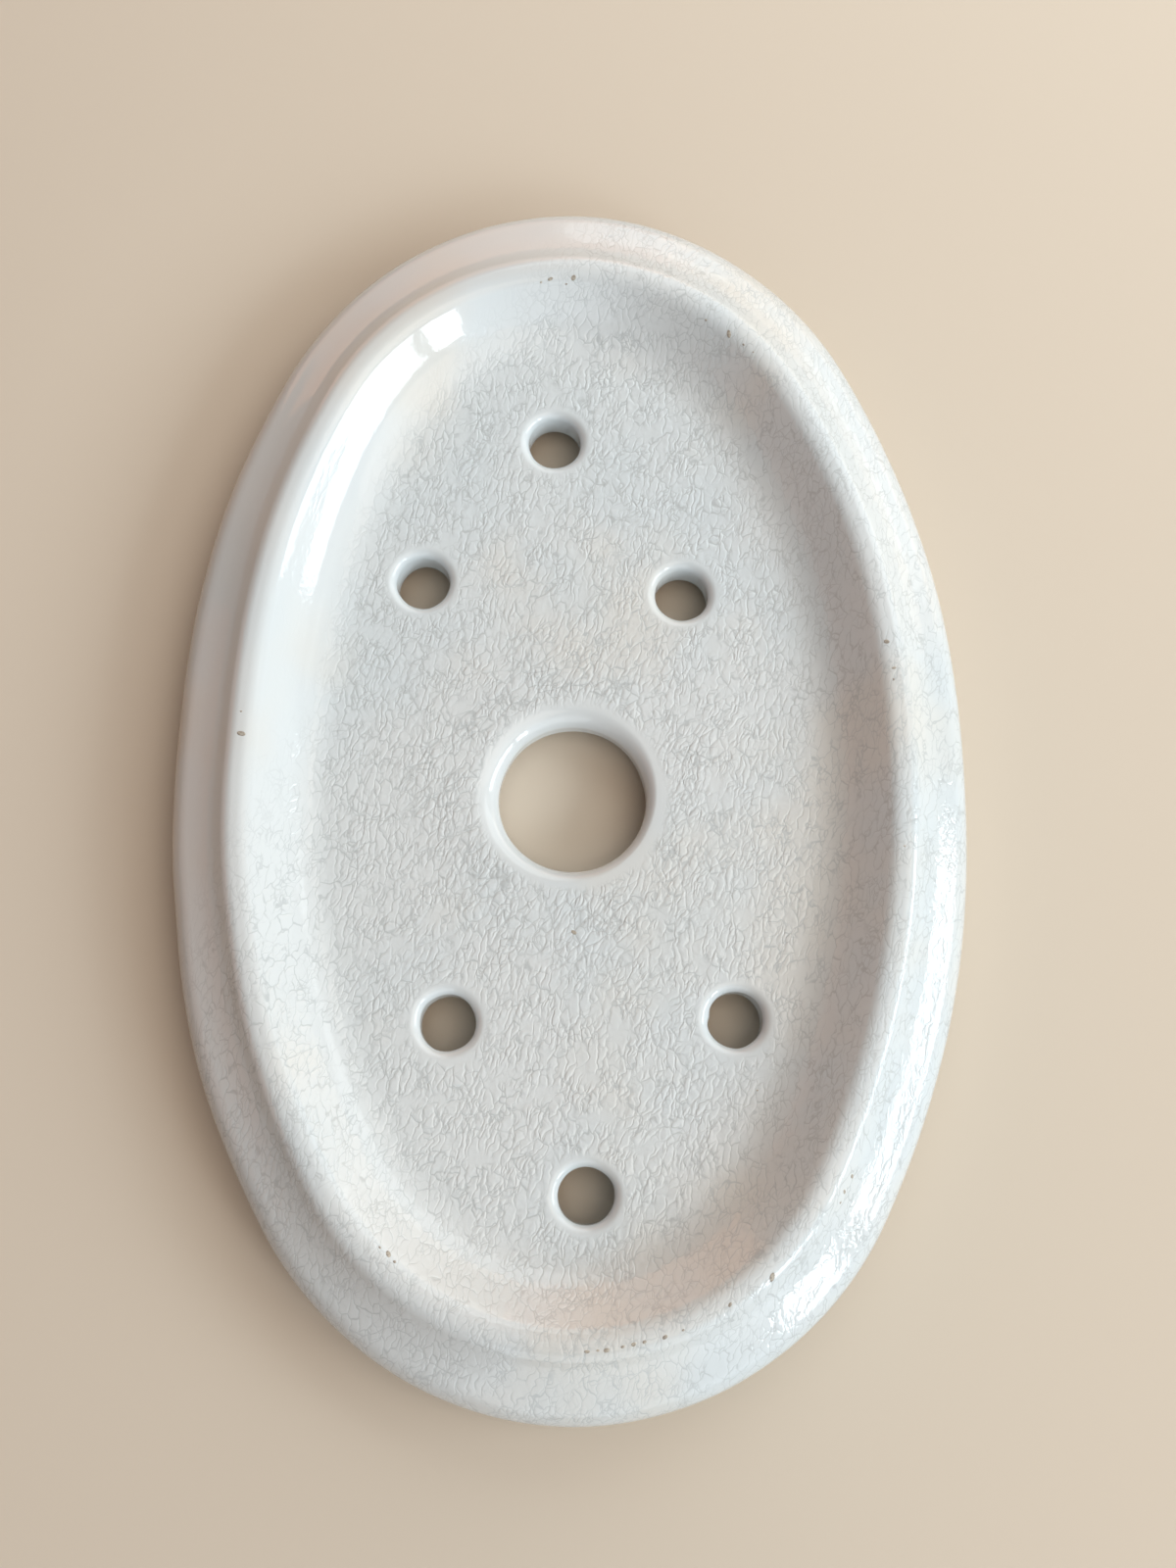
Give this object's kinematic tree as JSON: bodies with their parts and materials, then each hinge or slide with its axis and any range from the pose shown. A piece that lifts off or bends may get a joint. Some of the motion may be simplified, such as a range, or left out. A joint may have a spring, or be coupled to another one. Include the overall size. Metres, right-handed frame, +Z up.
{
  "type": "soap dish drainer",
  "caption": "Oval glazed ceramic soap drainer with a shallow well, a large round centre hole, small drain holes, a sloping flange with a rounded lip and a low foot ring.",
  "frame": {"origin": "the middle of the oval outline, on the surface that the foot ring stands on", "axes": "+Y along the long axis of the oval, towards the end with the wider flange; +X across it; +Z up"},
  "size_m": [0.082, 0.127, 0.0106],
  "materials": {
    "fired_clay": "matt, unglazed, cream-coloured ironstone",
    "glaze": "gloss, finely crazed, bluish white"
  },
  "bodies": {
    "root": {"clay_body": "fired_clay", "glaze_coat": "glaze"}
  },
  "joints": []
}
